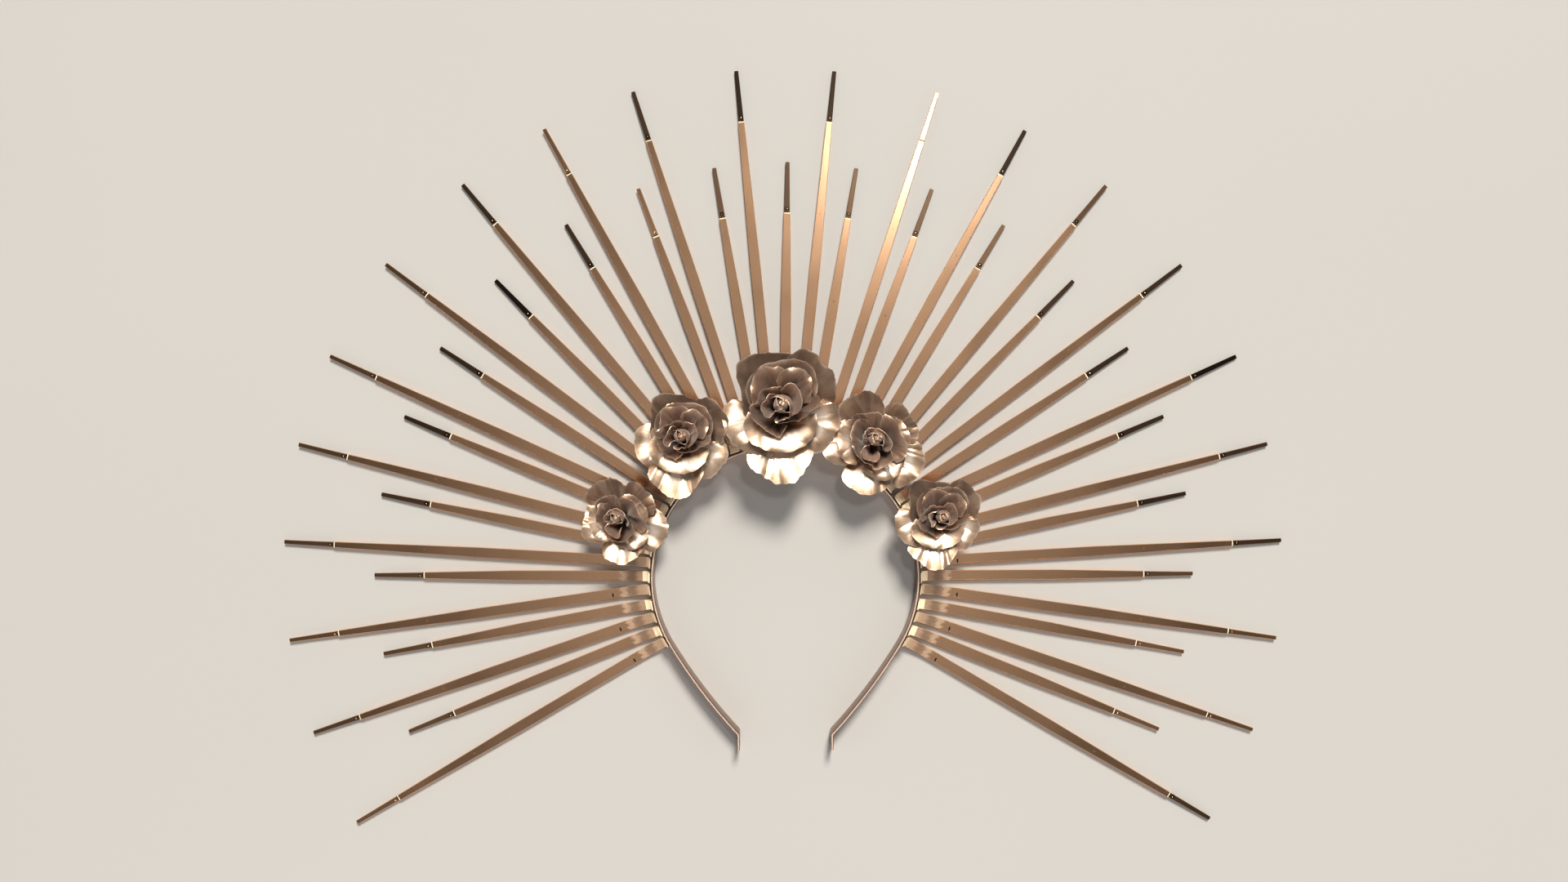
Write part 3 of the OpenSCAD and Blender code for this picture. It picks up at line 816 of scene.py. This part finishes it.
# How uneven a petal is: waves and frays of its rim as shares of its length, fine and broad pleats and
# sharp creases as shares of the depth of its folds, and where along it the rim starts to roll back and
# over what share of its length
RIM_WAVES = 0.012
RIM_FRAYS = 0.005
FINE_PLEATS = 0.09
BROAD_PLEATS = 0.60
SHARP_CREASES = 0.80
ROLL_FROM = 0.72
ROLL_LEN = 0.28
# The cone inside a rose, as (radius, height, share of the bud's shift), and the points round it
CORE_RINGS = ((0.22, 0.0, 0.0), (0.27, 0.04, 0.0), (0.27, 0.10, 0.0), (0.22, 0.18, 0.0),
              (0.15, 0.32, 0.4), (0.09, 0.46, 0.9), (0.08, 0.70, 1.0), (0.105, 0.84, 1.0),
              (0.095, 0.91, 1.0), (0.06, 0.95, 1.0))
CORE_SIDES = 24
# The bud's grid, the height at which it starts, and its petals as (facing, spread, radius in half
# widths, top, how far it closes)
BUD_ACROSS = 48
BUD_ALONG = 20
BUD_FROM = 0.44
BUD_PETALS = (
    (170.0, 250.0, 0.115, 0.985, 1.12),
    (340.0, 240.0, 0.140, 1.00, 1.02),
    (215.0, 200.0, 0.165, 0.975, 0.66),
    (50.0, 200.0, 0.190, 0.955, 0.55),
)


def spline(points, count, steps=12):
    """Points on a smooth curve through the given ones, evenly spread along it."""
    given = np.asarray(points, float)
    ends = np.vstack([2 * given[0] - given[1], given, 2 * given[-1] - given[-2]])
    fine = []
    for k in range(1, len(ends) - 2):
        a, b, c, d = ends[k - 1:k + 3]
        for t in np.linspace(0.0, 1.0, steps, endpoint=False):
            fine.append(0.5 * (2 * b + (c - a) * t + (2 * a - 5 * b + 4 * c - d) * t ** 2
                               + (3 * b - a - 3 * c + d) * t ** 3))
    fine.append(given[-1])
    fine = np.array(fine)
    run = np.concatenate([[0.0], np.cumsum(np.linalg.norm(np.diff(fine, axis=0), axis=1))])
    wanted = np.linspace(0.0, run[-1], count)
    return np.column_stack([np.interp(wanted, run, fine[:, k]) for k in range(3)])


def bezier(t, one, two):
    """A cubic from 0 to 1 with two inner control values."""
    return 3 * (1 - t) ** 2 * t * one + 3 * (1 - t) * t ** 2 * two + t ** 3


def ripples(u, v, draws, count, across, along):
    """Smooth waves over a sheet, about -1 to 1: some number of them across it and along it."""
    field = 0.0
    for _ in range(count):
        a, b = draws.uniform(0.4, 1.0) * across, draws.uniform(-1.0, 1.0) * along
        field = field + np.sin(math.pi * a * u + 2 * math.pi * b * v + draws.uniform(0.0, 2 * math.pi))
    return field / math.sqrt(count)


def creases(u, v, draws, count):
    """Sharp folds over a sheet, up or down, each along a slanting line from base to rim."""
    field = 0.0
    for _ in range(count):
        start, slant, width = draws.uniform(-0.8, 0.8), draws.uniform(-0.6, 0.6), draws.uniform(0.05, 0.16)
        field = field + draws.uniform(-1.0, 1.0) * np.exp(-np.abs(u - start - slant * (v - 0.6)) / width)
    return field


def shares(across, along):
    """A grid's shares: from -1 to 1 across it and from 0 to 1 along it."""
    return np.linspace(-1.0, 1.0, across + 1)[None, :], np.linspace(0.0, 1.0, along + 1)[:, None]


def sheet_normals(grid):
    """Unit normals of a sheet of points [along, across, xyz]."""
    normal = np.cross(np.gradient(grid, axis=1), np.gradient(grid, axis=0))
    return normal / np.maximum(np.linalg.norm(normal, axis=2, keepdims=True), 1e-9)


def petal_grid(row, half, depth, draws):
    """The middle sheet of a petal in millimetres, as an array [along, across, xyz]."""
    form, base_z, lip, rim = row
    out1, up1, out2, up2, base_r, fold, corner = PETAL_FORMS[form]
    edge = spline(rim, PETAL_ACROSS + 1)
    u, v = shares(PETAL_ACROSS, PETAL_ALONG)
    heading = edge[:, :2].mean(0)
    outward = edge[:, :2] / np.linalg.norm(edge[:, :2], axis=1, keepdims=True)
    lean = outward + BASE_TURN * heading / np.linalg.norm(heading)
    base = base_r * lean / np.linalg.norm(lean, axis=1, keepdims=True)
    ragged = RIM_WAVES * ripples(u, 0.0, draws, 5, 12.0, 0.0) + RIM_FRAYS * draws.normal(size=u.shape)
    length = v * (1.0 - corner * np.abs(u) ** 6)
    reach = bezier(length, out1, out2) * (1.0 + v ** 8 * ragged)
    climb = bezier(length, up1, up2)
    xy = base[None] + (edge[:, :2] - base)[None] * reach[:, :, None]
    z = base_z + (edge[:, 2] - base_z)[None] * climb
    grid = np.dstack([xy * half, z * depth])
    pleats = v ** 2 * ripples(u, v, draws, 4, 6.0, 0.8) * FINE_PLEATS
    pleats = pleats + v * ripples(u, v, draws, 4, 2.4, 0.8) * BROAD_PLEATS
    pleats = pleats + v * creases(u, v, draws, 5) * SHARP_CREASES
    grid += sheet_normals(grid) * (fold * pleats)[:, :, None]
    waves = 1.0 + 0.5 * ripples(u, 0.0, draws, 3, 4.0, 0.0)
    roll = lip * waves * np.maximum(0.0, (v - ROLL_FROM) / ROLL_LEN) ** 2
    grid[:, :, 2] -= roll * depth
    return grid


def bud_grid(row, bud, half, depth, draws):
    """One petal of the closed bud, which leans in over the bud's top."""
    facing, spread, size, top, closing = row
    u, v = shares(BUD_ACROSS, BUD_ALONG)
    angle = np.radians(facing + u * spread / 2)
    # Narrow at the base, wide further up, and closed over the top in the middle of its rim
    bulge = 0.55 + 0.90 * v - 0.45 * v ** 2
    closed = closing * (1.0 - np.abs(u) ** 2.5) * v ** 3
    radius = size * (bulge - closed) * (1.0 + 0.07 * ripples(u, v, draws, 3, 2.0, 0.5))
    rise = top - 0.05 * u ** 2 - BUD_FROM + 0.01 * ripples(u, v, draws, 3, 4.0, 0.5)
    z = BUD_FROM + rise * np.sin(v * math.pi / 2)
    x, y = bud[0] + radius * np.cos(angle), bud[1] + radius * np.sin(angle)
    return np.dstack([x * half, y * half, z * depth])


def thick_sheet(grid):
    """A closed skin round a sheet, thinner towards its rim, and its points' places: (across, along)
    as shares and then in millimetres of cloth."""
    rows, cols = grid.shape[:2]
    offset = sheet_normals(grid) * (np.linspace(*PETAL_SIDES, rows)[:, None, None] * PETAL_T)
    points = np.concatenate([(grid + offset).reshape(-1, 3), (grid - offset).reshape(-1, 3)])
    under = rows * cols
    faces = []
    for j in range(rows - 1):
        for i in range(cols - 1):
            a = j * cols + i
            quad = [a, a + 1, a + cols + 1, a + cols]
            faces += [quad, [under + p for p in quad[::-1]]]
    ring = list(range(cols)) + [j * cols + cols - 1 for j in range(1, rows)]
    ring += [(rows - 1) * cols + i for i in range(cols - 2, -1, -1)]
    ring += [j * cols for j in range(rows - 2, 0, -1)]
    for k, a in enumerate(ring):
        b = ring[(k + 1) % len(ring)]
        faces.append([b, a, under + a, under + b])
    u, v = np.meshgrid(np.linspace(-1.0, 1.0, cols), np.linspace(0.0, 1.0, rows))
    width = np.linalg.norm(np.diff(grid[rows * 2 // 3], axis=0), axis=1).sum()
    length = np.linalg.norm(np.diff(grid[:, cols // 2], axis=0), axis=1).sum()
    places = np.column_stack([u.ravel(), v.ravel(), u.ravel() * width / 2, v.ravel() * length])
    return points, faces, np.tile(places, (2, 1))


def core(bud, half, depth):
    """The plain cone under a rose that its petals are fixed to, up to the inside of its bud."""
    turns = np.linspace(0.0, 2 * math.pi, CORE_SIDES, endpoint=False)
    sections = []
    for r, z, shift in CORE_RINGS:
        x, y = shift * bud[0] + r * np.cos(turns), shift * bud[1] + r * np.sin(turns)
        sections.append(np.column_stack([x * half, y * half, np.full(CORE_SIDES, z * depth)]))
    return loft(sections)


def petal_heart(form, places):
    """How rosy, shaded and matt the paint is at each point of a petal: painted rosy light, painted shade,
    and on the lit forms a painted highlight down the middle.
    """
    heart = np.tile(HEART.get(form, (0.0, 0.0, 0.0)), (len(places), 1))
    if form in LIT_MIDDLE_FORMS:
        across, along = places[:, 0] / LIGHT_ACROSS, (places[:, 1] - LIGHT_AT) / LIGHT_ALONG
        heart[:, 1] = RIM_SHADE - MIDDLE_LIGHT * np.exp(-across ** 2 - along ** 2)
    return heart


def rose(node, petals, bud, turn, seed):
    """One rose: its core, petals and bud, turned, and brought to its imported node's box."""
    lo, hi = in_mm(node)
    half = (hi[0] - lo[0]) / 2
    depth = hi[2] - lo[2]
    draws = np.random.default_rng(seed)
    sheets = [(petal_grid(row, half, depth, draws), row[0]) for row in petals]
    sheets += [(bud_grid(row, bud, half, depth, draws), "bud") for row in BUD_PETALS]
    parts = [(*core(bud, half, depth), {})]
    for k, (grid, form) in enumerate(sheets):
        points, faces, places = thick_sheet(grid)
        sheet = np.column_stack([places[:, :2], np.full(len(places), float(k + 20 * seed))])
        cloth = np.column_stack([places[:, 2:], np.zeros(len(places))])
        parts.append((points, faces, {"sheet": sheet, "cloth": cloth, "heart": petal_heart(form, places)}))
    turned = np.array(Matrix.Rotation(math.radians(turn), 3, "Z"))
    parts = [(points @ turned.T, faces, extra) for points, faces, extra in parts]
    every = np.concatenate([part[0] for part in parts])
    low, high = every.min(0), every.max(0)
    parts = [((points - low) / (high - low) * (hi - lo) + lo, faces, extra) for points, faces, extra in parts]
    return mesh_piece(node + "_petals", parts, PETAL_PAINT, node, sharp=60.0)


# The floor, the light and the camera

# The camera's place in millimetres, the direction in which it looks and its focal length
CAMERA_AT = (-5.8, 34.75, 506.7)
CAMERA_LOOK = (0.01028, -0.05652, -0.99835)
CAMERA_LENS = 24.43


def camera():
    """The camera, looking down at the crown's front with the crown's top upwards."""
    data = bpy.data.cameras.new("camera")
    data.lens = CAMERA_LENS
    data.clip_start = 0.01
    made = bpy.data.objects.new("camera", data)
    back = -Vector(CAMERA_LOOK).normalized()
    right = Vector((0, 1, 0)).cross(back).normalized()
    turn = Matrix((right, back.cross(right), back)).transposed()
    made.matrix_world = Matrix.Translation(Vector(CAMERA_AT) * MM) @ turn.to_4x4()
    bpy.context.scene.collection.objects.link(made)
    bpy.context.scene.camera = made


def lamp(name, at, aim, size, power, colour=(1.0, 1.0, 1.0), shape="RECTANGLE"):
    """A soft lamp, placed and aimed in metres."""
    data = bpy.data.lights.new(name, "AREA")
    data.shape = shape
    data.size, data.size_y = size
    data.energy = power
    data.color = colour
    made = bpy.data.objects.new(name, data)
    made.location = at
    made.rotation_euler = (Vector(aim) - Vector(at)).to_track_quat("-Z", "Y").to_euler()
    bpy.context.scene.collection.objects.link(made)


# The warm white of the key lamps
KEY_COLOUR = (1.0, 0.94, 0.85)


def key_light(name, towards, power, spread, lit):
    """A far lamp in a direction, as wide as spread in degrees, that lights one collection."""
    data = bpy.data.lights.new(name, "SUN")
    data.energy = power
    data.angle = math.radians(spread)
    data.color = KEY_COLOUR
    made = bpy.data.objects.new(name, data)
    made.rotation_euler = Vector(towards).to_track_quat("Z", "Y").to_euler()
    made.light_linking.receiver_collection = lit
    bpy.context.scene.collection.objects.link(made)


# The walls' brightness by height, as (sine of the height above the floor, brightness), and the glow
# overhead by how near it is to its middle, as (cosine of the angle from it, brightness)
WALLS = ((0.00, 0.64), (0.30, 0.66), (0.50, 0.28), (0.66, 0.05), (0.86, 0.02), (1.00, 0.02))
GLOW = ((0.90, 0.0), (0.94, 0.01), (0.954, 0.055), (0.972, 0.24), (0.984, 0.46), (1.00, 0.56))
GLOW_AXIS = (0.01, -0.13, 0.99)
STUDIO_TINT = (1.0, 0.99, 0.97)


def studio(plain, metal, roses):
    """Soft light all round from pale walls, a dim ceiling and a glow overhead, and the lamps: a key on
    the plain collection, one more on the metal in it and one on the roses, a glint and a fill."""
    world = bpy.data.worlds.new("studio")
    bpy.context.scene.world = world
    world.use_nodes = True
    nodes, links = world.node_tree.nodes, world.node_tree.links
    place = nodes.new("ShaderNodeTexCoord")
    total = nodes.new("ShaderNodeMix")
    total.data_type = "RGBA"
    total.blend_type = "ADD"
    total.inputs["Factor"].default_value = 1.0
    for axis, steps, socket in (((0.0, 0.0, 1.0), WALLS, MIX_A), (GLOW_AXIS, GLOW, MIX_B)):
        along = nodes.new("ShaderNodeVectorMath")
        along.operation = "DOT_PRODUCT"
        along.inputs[1].default_value = Vector(axis).normalized()
        ramp = nodes.new("ShaderNodeValToRGB")
        links.new(place.outputs["Generated"], along.inputs[0])
        links.new(along.outputs["Value"], ramp.inputs[0])
        stops = ramp.color_ramp.elements
        while len(stops) < len(steps):
            stops.new(0.5)
        for stop, (near, value) in zip(stops, steps):
            stop.position = near
            stop.color = (*(value * tint for tint in STUDIO_TINT), 1.0)
        links.new(ramp.outputs[0], total.inputs[socket])
    links.new(total.outputs[MIX_OUT], nodes["Background"].inputs["Color"])
    key_light("key", towards=(0.16, 0.74, 0.65), power=3.3, spread=16.0, lit=plain)
    key_light("metal_key", towards=(0.0, -0.90, 0.44), power=3.0, spread=16.0, lit=metal)
    key_light("rose_key", towards=(-0.05, 0.52, 0.85), power=14.0, spread=20.0, lit=roses)
    lamp("glint", at=(0.190, 0.400, 1.07), aim=(0.057, 0.152, 0.0), size=(0.12, 0.12), power=1.2,
         colour=(1.0, 0.97, 0.92), shape="DISK")
    lamp("fill", at=(-0.2, -1.2, 0.9), aim=(0.0, 0.0, 0.0), size=(1.2, 0.8), power=2.0)


# Half the floor's width in metres, and how far below the crown it lies, so that no faces coincide
FLOOR_HALF = 20.0
FLOOR_DROP = 0.02


def floor():
    """A wide flat floor."""
    corners = [(x * FLOOR_HALF, y * FLOOR_HALF, 0) for x, y in ((-1, -1), (1, -1), (1, 1), (-1, 1))]
    mesh = bpy.data.meshes.new("floor")
    mesh.from_pydata(corners, [], [(0, 1, 2, 3)])
    mesh.materials.append(floor_paint())
    made = bpy.data.objects.new("floor", mesh)
    made.location.z = -FLOOR_DROP * MM
    bpy.context.scene.collection.objects.link(made)
    return made


BAND_PAINT = band_paint()
STRAP_PAINT = strap_paint()
PETAL_PAINT = petal_paint()
metal = bpy.data.collections.new("metal")
roses = bpy.data.collections.new("roses")
plain = bpy.data.collections.new("plain")
plain.children.link(metal)
plain.objects.link(floor())
camera()
studio(plain, metal, roses)
metal.objects.link(headband())
for i, bend_back in enumerate(LONG_TAILS, 1):
    metal.objects.link(strap(f"ray_long_{i:02d}", LONG_STRAP, bend_back))
for i, bend_back in enumerate(SHORT_TAILS, 1):
    metal.objects.link(strap(f"ray_short_{i:02d}", SHORT_STRAP, bend_back))
for row in ROSES:
    roses.objects.link(rose(*row))
bpy.context.scene.view_settings.view_transform = "Standard"
